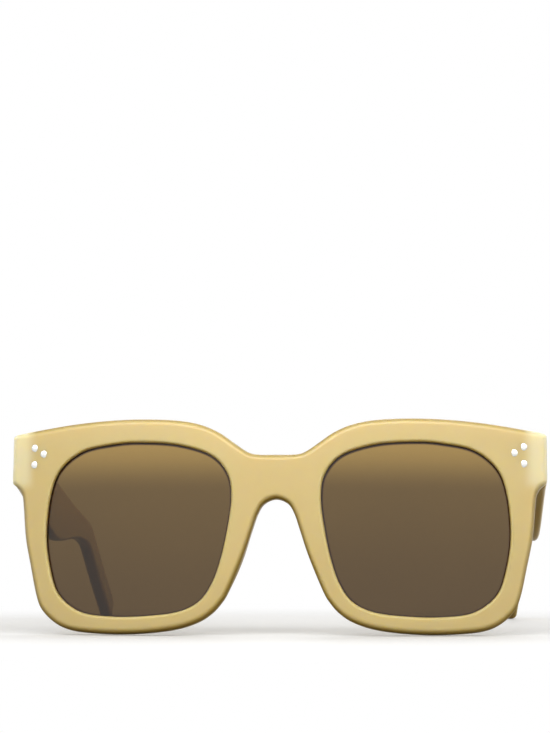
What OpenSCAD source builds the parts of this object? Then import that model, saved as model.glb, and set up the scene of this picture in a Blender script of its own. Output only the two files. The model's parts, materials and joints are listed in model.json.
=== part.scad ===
// Square sunglasses, modelled open and standing on a table: the front leans back a little,
// and rests on its rim bottoms and on the two temple tips.
// Left and right are as seen from the front, looking along +Y: left is -X.
// The front is drawn upright first, with its face along the XZ plane, rim bottoms at Z = 0
// and depth along +Y, and placed() then leans the whole object onto the table.

/* [Lenses and bridge] */
// Width of one lens opening
lens_w = 50.4; // [44:0.2:56]
// Height of one lens opening
lens_h = 46.8; // [40:0.1:54]
// Gap between the two lens openings
bridge_w = 24; // [18:0.5:28]
// Thickness of a lens
lens_t = 2; // [1.6:0.1:2.2]
// How far the lens face lies behind the front face
lens_recess = 1.6; // [1.4:0.1:1.8]
// How deep the lens edge sits in the rim
groove_depth = 1; // [0.6:0.1:1.4]
// Gap all round between a lens and its groove
lens_gap = 0.1; // [0.05:0.01:0.15]

/* [Front] */
// Radius that the front is bent to, around an upright axis
bend_r = 375; // [250:5:600]
// Thickness of the rims
rim_t = 5; // [4.6:0.1:6]
// Rim above a lens
top_rim_h = 6.4; // [5:0.1:9]
// Rim below a lens
bottom_rim_h = 4.55; // [3:0.05:6]
// Front beyond a lens opening, out to the end of the endpiece
side_w = 10; // [8:0.1:13]
// Height of one nose pad
pad_h = 18; // [12:0.5:22]
// Width of one nose pad
pad_w = 5; // [3.5:0.1:6]
// How far a nose pad stands out behind the rim
pad_depth = 3.6; // [2:0.1:5]

/* [Endpieces and hinges] */
// Width of the thick block at each end of the front
endpiece_w = 11; // [10:0.1:12.5]
// Thickness of that block at its outer end
endpiece_t = 5.3; // [4.8:0.1:7]
// Thickness of a hinge plate
leaf_t = 1; // [0.8:0.05:1.2]
// Height of one hinge barrel
barrel_h = 2.1; // [1.8:0.05:2.4]
// Radius of a hinge barrel
barrel_r = 1.5; // [1.3:0.05:1.6]
// Radius of the hinge screw
screw_r = 0.7; // [0.6:0.05:0.8]
// Running gap round the screw and between barrels
hinge_gap = 0.08; // [0.06:0.01:0.1]
// Distance of the hinge axis behind the temple's butt end
axis_back = 2.4; // [2.3:0.05:2.8]
// Distance of the hinge axis from the temple's inner face
axis_in = 2; // [1.9:0.05:2.4]
// Radius of a rivet
rivet_r = 1; // [0.8:0.05:1.1]
// How far a rivet's head stands out of its face
rivet_head = 0.15; // [0.1:0.05:0.3]
// Gap between a rivet and its hole
rivet_gap = 0.02; // [0.01:0.01:0.04]

/* [Temples] */
// Length of a temple along its upper edge, from butt end to tip
temple_l = 146; // [130:1:155]
// Thickness of the blade
blade_t = 4.1; // [3.6:0.1:4.6]
// Height of the butt end
butt_h = 13.2; // [12.8:0.1:14]
// Greatest height of the blade
belly_h = 16.8; // [15:0.1:18]
// Height at the bend over the ear
bend_h = 7.7; // [6.5:0.1:9]
// Height of the tip
tip_h = 7.8; // [6.5:0.1:9]
// Corner radius of the tip
tip_r = 2.4; // [1:0.1:3]
// Slope of the temples down from square to the front, in degrees
temple_slope = 5.5; // [3:0.1:8]
// Slope of the ear part, in degrees
ear_slope = 31; // [24:0.5:36]
// Distance from the butt end to the bend over the ear
ear_start = 109; // [95:1:118]
// Length over which the ear bend turns
ear_blend = 10; // [6:0.5:14]
// How far the tip curves in towards the head
tip_in = 4; // [2:0.1:6]
// Gap between the butt end and the endpiece
butt_gap = 0.1; // [0.05:0.01:0.2]

/* [Hidden] */
$fn = 96;
// Overrun of a cut past the face it opens
over = 1;
honey = "#e6cd92";
steel = "#c9c9cc";
brown = "#5c4a38";

// Front: overall sizes that follow from the lenses and rims
front_h = bottom_rim_h + lens_h + top_rim_h;
half_w = bridge_w / 2 + lens_w + side_w;
lens_x = bridge_w / 2 + lens_w / 2;
lens_z = bottom_rim_h + lens_h / 2;
// Depth in which every slab of the front is drawn, behind and in front of its face
slab_back = bend_r / 10;
// Points that a smooth curve gets between two of its own
smooth_steps = 3;

// Lens opening, as shares of its half width (outwards) and half height (upwards)
opening_shares = [[0, 1], [-0.42, 0.965], [-0.78, 0.84], [-0.96, 0.62], [-1, 0.35],
    [-0.965, 0.02], [-0.9, -0.32], [-0.81, -0.61], [-0.67, -0.83], [-0.44, -0.95],
    [-0.1, -0.995], [0.25, -1], [0.6, -0.945], [0.85, -0.74], [0.955, -0.42], [1, -0.05], [0.965, 0.4],
    [0.86, 0.7], [0.62, 0.905], [0.3, 0.98]];
// Outline of one half of the front from the bridge's top round to the nose,
// as shares of the half width and the height
outer_shares = [[0, 0.827], [0.073, 0.829], [0.11, 0.843], [0.16, 0.886], [0.213, 0.932],
    [0.282, 0.97], [0.373, 0.992], [0.504, 1], [0.635, 0.996], [0.773, 0.981],
    [0.911, 0.956], [0.977, 0.942], [0.9966, 0.932], [1, 0.911], [1, 0.805], [1, 0.72],
    [0.9924, 0.701], [0.9745, 0.682], [0.9607, 0.648], [0.9545, 0.592], [0.9434, 0.45],
    [0.922, 0.32], [0.897, 0.182], [0.872, 0.111], [0.817, 0.0485], [0.752, 0.017],
    [0.649, 0.003], [0.545, 0], [0.4417, 0.0075], [0.352, 0.025], [0.28, 0.0563],
    [0.2334, 0.0952]];
// Outline of one nose side and half of the arch, as shares of half the bridge and the height
nose_shares = [[1.217, 0.1385], [1.058, 0.192], [0.733, 0.353], [0.533, 0.476],
    [0.408, 0.552], [0.258, 0.601], [0, 0.622]];
// Middle of a nose pad, as shares of half the bridge and the height
pad_shares = [0.95, 0.33];
// Lean of a nose pad, which follows the nose side
pad_lean = atan((nose_shares[1][0] - nose_shares[4][0]) * bridge_w / 2
    / ((nose_shares[4][1] - nose_shares[1][1]) * front_h));
// Bottom of the thick endpiece, as a share of the height
endpiece_bottom_share = 0.7;

// Endpiece, hinge and rivets
endpiece_x = half_w - endpiece_w;
endpiece_y = sag(half_w) + endpiece_t;
endpiece_z = front_h * endpiece_bottom_share;
butt_y = endpiece_y + butt_gap;
temple_x = half_w - blade_t;
axis_x = temple_x - axis_in;
axis_y = butt_y + axis_back;
// Height of the middle barrel's centre, as a share of the front's height
axis_share = 0.809;
axis_z = front_h * axis_share;
barrel_pitch = barrel_h + hinge_gap;
neck_w = barrel_r + screw_r / 2;
// Margin of hinge plate around a rivet's centre
plate_edge = rivet_r * 1.6;
// Front rivets: distance in from the end and up from the rim bottom, as shares of the
// endpiece's width and the front's height
front_rivet_shares = [[0.577, 0.871], [0.809, 0.842], [0.577, 0.792]];
// Temple rivets: distance from the butt end and below the upper edge, as shares of the
// butt end's height
temple_rivet_shares = [[0.85, 0.42], [1.045, 0.61], [0.83, 0.78]];
leaf_start = axis_back - neck_w / 2;
leaf_end = temple_rivet_shares[1][0] * butt_h + plate_edge;
leaf_low = temple_rivet_shares[2][1] * butt_h + plate_edge;
screw_head_r = screw_r * 1.6;
screw_head_h = screw_r * 0.8;

// Temple: its top as a share of the front's height, where the belly lies as a share of the
// length and where it ends as a share of the way to the ear, and the blade's heights as
// [distance from the butt end, height]
temple_top_share = 0.923;
temple_top = front_h * temple_top_share;
belly_share = 0.33;
bend_share = 0.95;
heights = [[0, butt_h], [temple_l * belly_share, belly_h], [ear_start * bend_share, bend_h],
    [temple_l, tip_h]];
// Where the temple starts to curve in, as a share of its length
bow_share = 0.4;
bow_start = temple_l * bow_share;
// Steps along the temple, round its tip's corners and along its inward curve
stations = 44;
tip_steps = 6;
bow_steps = 20;

// How far the bent front lies behind its middle at a distance x from it
function sag(x) = bend_r - sqrt(bend_r * bend_r - x * x);

// Catmull-Rom curve through four points, at t from the second to the third
function curve(a, b, c, d, t) = (2 * b + (c - a) * t + (2 * a - 5 * b + 4 * c - d) * t * t
    + (3 * b - a - 3 * c + d) * t * t * t) / 2;

// Smooth closed curve through a ring of points
function ring(p) = [for (i = [0:len(p) - 1]) for (k = [0:smooth_steps - 1])
    curve(p[(i + len(p) - 1) % len(p)], p[i], p[(i + 1) % len(p)], p[(i + 2) % len(p)],
        k / smooth_steps)];

// Outline of the right half, and the whole outline with its mirror image
half_outline = [
    for (s = outer_shares) [s[0] * half_w, s[1] * front_h],
    for (s = nose_shares) [s[0] * bridge_w / 2, s[1] * front_h]];
outline = ring([
    for (p = half_outline) p,
    for (i = [len(half_outline) - 2:-1:1]) [-half_outline[i][0], half_outline[i][1]]]);

// Right lens opening, grown by a margin
function opening(margin) = ring([for (s = opening_shares)
    [lens_x + s[0] * (lens_w / 2 + margin), lens_z + s[1] * (lens_h / 2 + margin)]]);

// Upper edge of a temple: how far it has dropped, and its slope, at a distance from the butt
function ear_part(s) = let (u = s - ear_start + ear_blend / 2)
    u <= 0 ? 0 : (u < ear_blend ? u * u / (2 * ear_blend) : u - ear_blend / 2);
function ear_turn(s) = let (u = s - ear_start + ear_blend / 2)
    u <= 0 ? 0 : (u < ear_blend ? u / ear_blend : 1);
function drop(s) = s * tan(temple_slope) + ear_part(s) * (tan(ear_slope) - tan(temple_slope));
function slope(s) = atan(tan(temple_slope)
    + ear_turn(s) * (tan(ear_slope) - tan(temple_slope))) * min(1, s / butt_h);
// Height of the blade at a distance: it eases from each named height to the next
function ease(t) = t * t * (3 - 2 * t);
function height(s, i = 0) = i >= len(heights) - 2 || s < heights[i + 1][0]
    ? heights[i][1] + (heights[i + 1][1] - heights[i][1])
        * ease((s - heights[i][0]) / (heights[i + 1][0] - heights[i][0]))
    : height(s, i + 1);
// What the tip's rounded corners take off at a distance
function corner(s) = s <= temple_l - tip_r ? 0
    : tip_r - sqrt(max(0, tip_r * tip_r - pow(s - temple_l + tip_r, 2)));
// A point of the side view, a depth below the upper edge and square to it
function side_point(s, depth) = [s - depth * sin(slope(s)),
    temple_top - drop(s) - depth * cos(slope(s))];
// Stations along the temple, closer together at the round tip
straight_steps = stations - tip_steps;
station = [for (i = [0:stations]) i < straight_steps
    ? (temple_l - tip_r) * i / straight_steps
    : temple_l - tip_r + tip_r * sin(90 * (i - straight_steps) / tip_steps)];
temple_side = [
    for (s = station) side_point(s, corner(s)),
    for (i = [stations:-1:0]) side_point(station[i], height(station[i]) - corner(station[i]))];
// How far the temple has curved in at a distance, and its view from above
function bow(s) = s <= bow_start ? 0
    : tip_in * pow((s - bow_start) / (temple_l - bow_start), 2);
bow_points = [for (i = [0:bow_steps])
    bow_start + (temple_l + over - bow_start) * i / bow_steps];
temple_plan = [
    [half_w, -over],
    for (s = bow_points) [half_w - bow(s), s],
    for (i = [bow_steps:-1:0]) [half_w - bow(bow_points[i]) - blade_t, bow_points[i]],
    [half_w - blade_t, -over]];

// Where along the half width the rim touches the table, and the lean that brings the
// temple tips down to it
rim_low_share = 0.57;
rim_low_x = half_w * rim_low_share;
rim_low_y = sag(rim_low_x) + rim_t;
lean = min([for (p = temple_side) if (p[0] > ear_start) atan2(p[1], butt_y + p[0] - rim_low_y)]);
lift = -min([for (p = outline) p[1] * cos(lean) - (sag(p[0]) + rim_t) * sin(lean)]);
front_y = min([for (p = outline) sag(p[0]) * cos(lean) + p[1] * sin(lean)]);
back_y = max([for (p = temple_side) (butt_y + p[0]) * cos(lean) + p[1] * sin(lean)]);
shift_y = -(front_y + back_y) / 2;
axis_row = [axis_x, axis_y * cos(lean) + axis_z * sin(lean) + shift_y,
    axis_z * cos(lean) - axis_y * sin(lean) + lift];
echo(lean = lean, axis_at = axis_row, axis_dir = [0, sin(lean), cos(lean)]);

// Leans a drawn piece onto the table
module placed() translate([0, shift_y, lift]) rotate([-lean, 0, 0]) children();

// The same piece on both sides is drawn for the right, and mirrored for the left
module side(left) if (left) mirror([1, 0, 0]) children(); else children();

// Upright slab of an outline in XZ, between two depths
module slab(points, y0, y1) translate([0, y1, 0]) rotate([90, 0, 0])
    linear_extrude(y1 - y0) polygon(points);

// Bent sheet between two depths behind the front's face
module sheet(d0, d1) translate([0, bend_r, -over]) difference() {
    cylinder(h = front_h + 2 * over, r = bend_r - d0, $fn = 720);
    translate([0, 0, -over]) cylinder(h = front_h + 4 * over, r = bend_r - d1, $fn = 720);
}

// Rivet centres, on the front as [x, z] and on the temple as [y, z]
function front_rivet(s) = [half_w - s[0] * endpiece_w, s[1] * front_h];
function temple_rivet(s) = [butt_y + s[0] * butt_h,
    temple_top - drop(s[0] * butt_h) - s[1] * butt_h];

// Nose pad, a lens-shaped ridge that follows the nose side
module pad() {
    r = (pad_h * pad_h + pad_w * pad_w) / (4 * pad_w);
    x = pad_shares[0] * bridge_w / 2;
    translate([x, sag(x) + rim_t + pad_depth, pad_shares[1] * front_h])
        rotate([0, -pad_lean, 0]) rotate([90, 0, 0]) intersection() {
            translate([r - pad_w / 2, 0, 0]) cylinder(h = pad_depth + rim_t / 2, r = r);
            translate([pad_w / 2 - r, 0, 0]) cylinder(h = pad_depth + rim_t / 2, r = r);
        }
}

// Thick block that carries the hinge, flat at the back
module endpiece() intersection() {
    slab(outline, -over, slab_back);
    translate([endpiece_x, 0, endpiece_z])
        cube([endpiece_w + over, endpiece_y, front_h]);
    sheet(0, slab_back);
}

// Sizes and places of the front's hinge plate
plate_x0 = front_rivet(front_rivet_shares[1])[0] - plate_edge;
plate_z0 = axis_z - barrel_pitch - barrel_h / 2;
plate_z1 = front_rivet(front_rivet_shares[0])[1] + plate_edge;
plate_x1 = axis_x + barrel_r;

module front_plate(margin) translate([plate_x0 - margin, endpiece_y - leaf_t, plate_z0 - margin])
    cube([plate_x1 - plate_x0 + 2 * margin, leaf_t + (margin > 0 ? over : 0),
        plate_z1 - plate_z0 + 2 * margin]);

module front_frame() color(honey, 0.9) placed() difference() {
    union() {
        intersection() {
            slab(outline, -over, slab_back);
            sheet(0, rim_t);
        }
        for (left = [false, true]) side(left) {
            endpiece();
            intersection() {
                slab(outline, -over, slab_back);
                pad();
            }
        }
    }
    for (left = [false, true]) side(left) {
        slab(opening(0), -over, slab_back);
        intersection() {
            slab(opening(groove_depth), -over, slab_back);
            sheet(lens_recess - lens_gap, lens_recess + lens_t + lens_gap);
        }
        front_plate(rivet_gap);
        for (s = front_rivet_shares) translate([front_rivet(s)[0], slab_back, front_rivet(s)[1]])
            rotate([90, 0, 0]) cylinder(h = slab_back + over, r = rivet_r + rivet_gap);
    }
}

module lens(left) color(brown, 0.6) placed() side(left) intersection() {
    slab(opening(groove_depth - lens_gap), -over, slab_back);
    sheet(lens_recess, lens_recess + lens_t);
}

// Three pins from the front's face to the back of the hinge plate
module front_rivets(left) color(steel) placed() side(left)
    for (s = front_rivet_shares) {
        p = front_rivet(s);
        y0 = sag(p[0]) - rivet_head;
        translate([p[0], endpiece_y, p[1]]) rotate([90, 0, 0])
            cylinder(h = endpiece_y - y0, r = rivet_r);
    }

// One barrel of the hinge, a number of pitches above the middle one
module barrel(n) translate([axis_x, axis_y, axis_z + n * barrel_pitch - barrel_h / 2])
    cylinder(h = barrel_h, r = barrel_r);

module screw_bore() translate([axis_x, axis_y, axis_z - 2 * barrel_pitch])
    cylinder(h = 4 * barrel_pitch, r = screw_r + hinge_gap);

module front_hinge_leaf(left) color(steel) placed() side(left) difference() {
    union() {
        front_plate(0);
        for (n = [-1, 1]) {
            barrel(n);
            translate([axis_x - neck_w / 2, endpiece_y - leaf_t / 2,
                axis_z + n * barrel_pitch - barrel_h / 2])
                cube([neck_w, axis_y - endpiece_y + leaf_t / 2, barrel_h]);
        }
    }
    screw_bore();
    for (s = front_rivet_shares)
        translate([front_rivet(s)[0], endpiece_y + over, front_rivet(s)[1]])
            rotate([90, 0, 0]) cylinder(h = leaf_t + 2 * over, r = rivet_r + rivet_gap);
}

// Top of the temple's hinge plate, which takes in its barrel and its upper rivet
leaf_top = max(axis_z + barrel_h / 2, temple_rivet(temple_rivet_shares[0])[1] + plate_edge);

module temple_plate(margin)
    translate([temple_x - (margin > 0 ? over : 0), butt_y + leaf_start - margin,
        temple_top - leaf_low - margin])
        cube([leaf_t + margin + (margin > 0 ? over : 0), leaf_end - leaf_start + 2 * margin,
            leaf_top - temple_top + leaf_low + 2 * margin]);

module temple(left) color(honey, 0.9) placed() side(left) difference() {
    intersection() {
        translate([0, butt_y, 0]) rotate([90, 0, 90]) linear_extrude(half_w + over)
            polygon(temple_side);
        translate([0, butt_y, 0]) linear_extrude(front_h) polygon(temple_plan);
    }
    temple_plate(rivet_gap);
    for (s = temple_rivet_shares)
        translate([temple_x - over, temple_rivet(s)[0], temple_rivet(s)[1]])
            rotate([0, 90, 0]) cylinder(h = blade_t + 2 * over, r = rivet_r + rivet_gap);
}

module temple_hinge_leaf(left) color(steel) placed() side(left) difference() {
    union() {
        temple_plate(0);
        barrel(0);
        translate([axis_x, axis_y - neck_w / 2, axis_z - barrel_h / 2])
            cube([axis_in + leaf_t / 2, neck_w, barrel_h]);
    }
    screw_bore();
    for (s = temple_rivet_shares)
        translate([temple_x - over, temple_rivet(s)[0], temple_rivet(s)[1]])
            rotate([0, 90, 0]) cylinder(h = leaf_t + 2 * over, r = rivet_r + rivet_gap);
}

// Three pins through the hinge plate and the blade
module temple_rivets(left) color(steel) placed() side(left)
    for (s = temple_rivet_shares)
        translate([temple_x, temple_rivet(s)[0], temple_rivet(s)[1]])
            rotate([0, 90, 0]) cylinder(h = blade_t + rivet_head, r = rivet_r);

module hinge_screw(left) color(steel) placed() side(left) {
    translate([axis_x, axis_y, axis_z - 1.5 * barrel_pitch])
        cylinder(h = 3 * barrel_pitch + screw_head_h / 2, r = screw_r);
    translate([axis_x, axis_y, axis_z + barrel_pitch + barrel_h / 2])
        cylinder(h = screw_head_h, r = screw_head_r);
}

front_frame();
lens(true);  // lens_left
lens(false);  // lens_right
temple(true);  // temple_left
temple(false);  // temple_right
front_hinge_leaf(true);  // front_hinge_leaf_left
front_hinge_leaf(false);  // front_hinge_leaf_right
temple_hinge_leaf(true);  // temple_hinge_leaf_left
temple_hinge_leaf(false);  // temple_hinge_leaf_right
hinge_screw(true);  // hinge_screw_left
hinge_screw(false);  // hinge_screw_right
front_rivets(true);  // front_rivets_left
front_rivets(false);  // front_rivets_right
temple_rivets(true);  // temple_rivets_left
temple_rivets(false);  // temple_rivets_right
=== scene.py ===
"""Square sunglasses with translucent honey plastic, brown lenses and silver rivets.

Lengths in the settings are metres. The front is worked out upright, with its face along the
XZ plane, its rim bottoms at Z = 0 and its depth along +Y, and placed() leans it onto the table.
"""

import json
import math

import bmesh
import bpy
import numpy as np
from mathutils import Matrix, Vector


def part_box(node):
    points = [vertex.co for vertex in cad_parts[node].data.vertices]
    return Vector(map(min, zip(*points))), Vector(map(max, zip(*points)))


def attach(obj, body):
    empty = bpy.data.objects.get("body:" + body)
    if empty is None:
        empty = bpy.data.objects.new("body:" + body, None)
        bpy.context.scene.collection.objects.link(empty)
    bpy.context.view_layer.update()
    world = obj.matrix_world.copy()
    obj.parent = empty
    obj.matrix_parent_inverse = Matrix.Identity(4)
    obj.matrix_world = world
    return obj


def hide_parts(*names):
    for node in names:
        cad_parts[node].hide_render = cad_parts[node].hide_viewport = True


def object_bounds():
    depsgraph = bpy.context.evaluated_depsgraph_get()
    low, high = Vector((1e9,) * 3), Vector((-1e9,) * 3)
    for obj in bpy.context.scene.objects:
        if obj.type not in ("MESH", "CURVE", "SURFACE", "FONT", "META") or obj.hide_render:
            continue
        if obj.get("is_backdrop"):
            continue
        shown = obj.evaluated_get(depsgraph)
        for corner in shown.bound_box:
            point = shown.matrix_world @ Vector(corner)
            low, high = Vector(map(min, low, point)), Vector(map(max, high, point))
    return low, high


bl_info = {
    "name": "Square sunglasses",
    "version": (1, 0, 0),
    "blender": (4, 5, 0),
    "location": "View3D > Sidebar > Sunglasses",
    "description": "Builds square sunglasses around their packed frame",
    "category": "Add Mesh",
}

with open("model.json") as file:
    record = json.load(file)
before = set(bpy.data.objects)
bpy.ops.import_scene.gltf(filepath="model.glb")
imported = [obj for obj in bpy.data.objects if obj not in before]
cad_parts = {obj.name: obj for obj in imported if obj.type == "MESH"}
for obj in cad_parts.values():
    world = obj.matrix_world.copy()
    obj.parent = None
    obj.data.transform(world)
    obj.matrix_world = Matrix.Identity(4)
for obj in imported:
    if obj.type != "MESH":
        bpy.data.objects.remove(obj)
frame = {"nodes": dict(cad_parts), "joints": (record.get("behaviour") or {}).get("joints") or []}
CAD_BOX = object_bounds()
MM = 0.001
HINGE = {j["name"]: j for j in frame["joints"]}["right_temple_fold"]
LEAN = math.atan2(HINGE["axis"][1], HINGE["axis"][2])

# Lens opening, as shares of its half width (outwards) and half height (upwards)
OPENING_SHARES = (
    (0, 1), (-0.42, 0.965), (-0.78, 0.84), (-0.96, 0.62), (-1, 0.35),
    (-0.965, 0.02), (-0.9, -0.32), (-0.81, -0.61), (-0.67, -0.83), (-0.44, -0.95),
    (-0.1, -0.995), (0.25, -1), (0.6, -0.945), (0.85, -0.74), (0.955, -0.42), (1, -0.05),
    (0.965, 0.4), (0.86, 0.7), (0.62, 0.905), (0.3, 0.98),
)
# Half outline of the front from the bridge's top round to the nose, as shares of the half
# width and the height
OUTER_SHARES = (
    (0, 0.827), (0.073, 0.829), (0.11, 0.843), (0.16, 0.886), (0.213, 0.932),
    (0.282, 0.97), (0.373, 0.992), (0.504, 1), (0.635, 0.996), (0.773, 0.981),
    (0.911, 0.956), (0.977, 0.942), (0.9966, 0.932), (1, 0.911), (1, 0.805), (1, 0.72),
    (0.9924, 0.701), (0.9745, 0.682), (0.9607, 0.648), (0.9545, 0.592), (0.9434, 0.45),
    (0.922, 0.32), (0.897, 0.182), (0.872, 0.111), (0.817, 0.0485), (0.752, 0.017),
    (0.649, 0.003), (0.545, 0), (0.4417, 0.0075), (0.352, 0.025), (0.28, 0.0563),
    (0.2334, 0.0952),
)
# Nose side and half of the arch, as shares of half the bridge and the height
NOSE_SHARES = (
    (1.217, 0.1385), (1.058, 0.192), (0.733, 0.353), (0.533, 0.476),
    (0.408, 0.552), (0.258, 0.601), (0, 0.622),
)
# Rivets: on the front as shares in from its end and up from its bottom, and on the temple as
# shares of the butt end's height, along it and down from its top
FRONT_RIVET_SHARES = ((0.577, 0.871), (0.809, 0.842), (0.577, 0.792))
TEMPLE_RIVET_SHARES = ((0.85, 0.42), (1.045, 0.61), (0.83, 0.78))
# Top of the temples' butt ends, as a share of the front's height
TEMPLE_TOP = 0.923
# Middle of the right nose pad, as shares of half the bridge and the front's height
PAD_MIDDLE = (0.95, 0.33)
# How strongly the narrow sides of the plastic take the amber tone, from 0 to 1
SIDE_TONE = 0.6
# Thickness that the visible plastic stays back, so that the hinge plates' faces show
SKIN = 0.12 * MM


def length(name, description, default):
    """A length that a user can change, with its default in millimetres."""
    return bpy.props.FloatProperty(
        name=name, description=description, default=default * MM, min=0, precision=5,
        unit="LENGTH", subtype="DISTANCE")


def colour(name, description, default):
    """A colour that a user can change."""
    return bpy.props.FloatVectorProperty(
        name=name, description=description, default=default, size=4, min=0, max=1,
        subtype="COLOR")


class SunglassesFront(bpy.types.PropertyGroup):
    """Sizes of the front and its lenses"""

    lens_w: length("Lens width", "Width of one lens opening", 50.4)
    lens_h: length("Lens height", "Height of one lens opening", 46.8)
    bridge_w: length("Bridge", "Gap between the two lens openings", 24)
    lens_t: length("Lens thickness", "Thickness of a lens", 2)
    recess: length("Lens recess", "Depth of the lens behind the front's face", 1.6)
    groove: length("Groove depth", "How deep the lens edge sits in the rim", 1)
    lens_gap: length("Lens gap", "Gap between a lens and its groove", 0.1)
    # the dark line is painted shade, where the lens enters its groove
    rim_shade_line: length("Rim line", "Width of the dark line where a lens meets its groove", 0.28)
    bend_r: length("Bend radius", "Radius that the front is bent to", 375)
    rim_t: length("Rim thickness", "Thickness of the rims", 5)
    top_rim: length("Top rim", "Rim above a lens", 6.4)
    bottom_rim: length("Bottom rim", "Rim below a lens", 4.55)
    side_w: length("Side width", "Front beyond a lens opening", 10)
    edge_r: length("Outer edge radius", "Rounding of the front's outer edges", 1.5)
    lens_edge_r: length("Lens edge radius", "Rounding of the edges round the lenses", 0.7)
    pad_h: length("Pad height", "Height of one nose pad", 18)
    pad_w: length("Pad width", "Width of one nose pad", 5)
    pad_depth: length("Pad depth", "How far a nose pad stands out behind the rim", 3.6)
    endpiece_w: length("Endpiece width", "Width of the block that carries the hinge", 11)
    endpiece_t: length("Endpiece thickness", "Thickness of that block at its end", 5.3)


class SunglassesTemple(bpy.types.PropertyGroup):
    """Sizes of the temples and of all the rivets"""

    temple_l: length("Length", "Length along the upper edge", 146)
    blade_t: length("Thickness", "Thickness of the blade", 4.1)
    butt_h: length("Butt height", "Height of the butt end", 13.2)
    belly_h: length("Belly height", "Greatest height of the blade", 16.8)
    bend_h: length("Bend height", "Height at the bend over the ear", 7.7)
    tip_h: length("Tip height", "Height of the tip", 7.8)
    tip_r: length("Tip radius", "Corner radius of the tip", 2.4)
    ear_start: length("Ear distance", "Distance from the butt end to the bend", 109)
    ear_blend: length("Bend length", "Length over which the ear bend turns", 10)
    tip_in: length("Inward curve", "How far the tip curves in", 4)
    butt_gap: length("Butt gap", "Gap between the butt end and the front", 0.1)
    edge_r: length("Edge radius", "Rounding of the blade's edges", 1.3)
    rivet_r: length("Rivet radius", "Radius of a rivet", 1)
    rivet_head: length("Rivet head", "Height of a rivet's domed head", 0.15)
    slope: bpy.props.FloatProperty(
        name="Slope", description="Slope of the temples", default=math.radians(5.5),
        subtype="ANGLE")
    ear_slope: bpy.props.FloatProperty(
        name="Ear slope", description="Slope of the ear part", default=math.radians(31),
        subtype="ANGLE")


class SunglassesHinge(bpy.types.PropertyGroup):
    """Place of the hinges, and sizes of their screws"""

    axis_share: bpy.props.FloatProperty(
        name="Axis height", description="Height of the middle barrel, as a share of the front's",
        default=0.809)
    axis_in: length("Axis inwards", "Distance of the axis from the temple's inner face", 2)
    axis_back: length("Axis back", "Distance of the axis behind the temple's butt end", 2.4)
    barrel_h: length("Barrel height", "Height of one barrel", 2.1)
    gap: length("Running gap", "Gap between barrels", 0.08)
    screw_r: length("Screw radius", "Radius of the screw's shaft", 0.7)
    slot_w: length("Slot width", "Width of the driver slot", 0.36)
    slot_deep: length("Slot depth", "Depth of the driver slot", 0.32)


class SunglassesLook(bpy.types.PropertyGroup):
    """Colours of the pieces and the floor, and of the painted glow and painted shade"""

    honey: colour("Honey", "Face colour of the plastic", (0.712, 0.568, 0.256, 1))
    amber: colour("Amber", "Colour of the plastic's narrow sides", (0.27, 0.18, 0.018, 1))
    # painted glow: a pale colour on the front's ends that stands in for light passing right
    # through them
    painted_glow: colour("Cream", "Colour of the front's ends, lit right through", (0.84, 0.77, 0.5, 1))
    brown: colour("Lens top", "Tint of the lenses at their top", (0.375, 0.237, 0.064, 1))
    # painted shade: the lenses darken towards the bottom to this colour, which stands in for
    # shade seen through them
    lens_painted_shade: colour("Lens bottom", "Tint of the lenses at their bottom",
                      (0.082, 0.046, 0.014, 1))
    # painted shade: a near-black colour that stands in for the groove's shade on the lens's rim
    painted_groove_shade: colour("Lens rim", "Colour of the lens where it enters its groove",
                     (0.03, 0.008, 0.002, 1))
    silver: colour("Rivets", "Colour of the rivets", (0.72, 0.72, 0.7, 1))
    steel: colour("Hinges", "Colour of the hinges", (0.5, 0.49, 0.47, 1))
    floor: colour("Floor", "Colour of the floor", (0.75, 0.745, 0.73, 1))
    bounce: colour("Floor bounce", "Colour of the light that the floor throws back",
                   (0.24, 0.2, 0.11, 1))


def settings():
    """The sizes of the front, the sizes of the temples, and the colours."""
    scene = bpy.context.scene
    return scene.sunglasses_front, scene.sunglasses_temple, scene.sunglasses_look


def front_size():
    """Half width and height of the front, and the middle of the right lens opening."""
    f = settings()[0]
    half_w = f.bridge_w / 2 + f.lens_w + f.side_w
    height = f.bottom_rim + f.lens_h + f.top_rim
    middle = np.array([f.bridge_w / 2 + f.lens_w / 2, f.bottom_rim + f.lens_h / 2])
    return half_w, height, middle


def sag(x):
    """Depth of the bent front behind its middle: the radius less the root of r^2 - x^2."""
    r = settings()[0].bend_r
    return r - np.sqrt(r * r - x * x)


def ring(points, steps):
    """Closed Catmull-Rom curve: a cubic between each two points, whose slope at a point runs
    along the line from the one before it to the one after."""
    p = np.asarray(points, float)
    a, c, d = np.roll(p, 1, 0), np.roll(p, -1, 0), np.roll(p, -2, 0)
    t = (np.arange(steps) / steps)[None, :, None]
    a, b, c, d = a[:, None], p[:, None], c[:, None], d[:, None]
    out = (2 * b + (c - a) * t + (2 * a - 5 * b + 4 * c - d) * t**2
           + (3 * b - a - 3 * c + d) * t**3) / 2
    return out.reshape(-1, 2)


def ease(t):
    """Smooth step: 3t^2 - 2t^3, held at 0 and 1 outside."""
    t = np.clip(t, 0, 1)
    return t * t * (3 - 2 * t)


def opening(margin, steps=16):
    """Right lens opening grown by a margin, as points in XZ."""
    f = settings()[0]
    half = np.array([f.lens_w / 2 + margin, f.lens_h / 2 + margin])
    return ring(np.array(OPENING_SHARES) * half, steps) + front_size()[2]


def half_keys():
    """Key points of the right half outline from the bridge's top round to the arch."""
    half_w, height, _ = front_size()
    outer = np.array(OUTER_SHARES) * (half_w, height)
    nose = np.array(NOSE_SHARES) * (settings()[0].bridge_w / 2, height)
    return np.vstack([outer, nose])


def outlines(steps=9):
    """The whole outline of the front, and its right half from x = 0 to x = 0."""
    keys = half_keys()
    mirrored = keys[-2:0:-1] * (-1, 1)
    whole = ring(np.vstack([keys, mirrored]), steps)
    return whole, whole[: (len(keys) - 1) * steps + 1]


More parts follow.
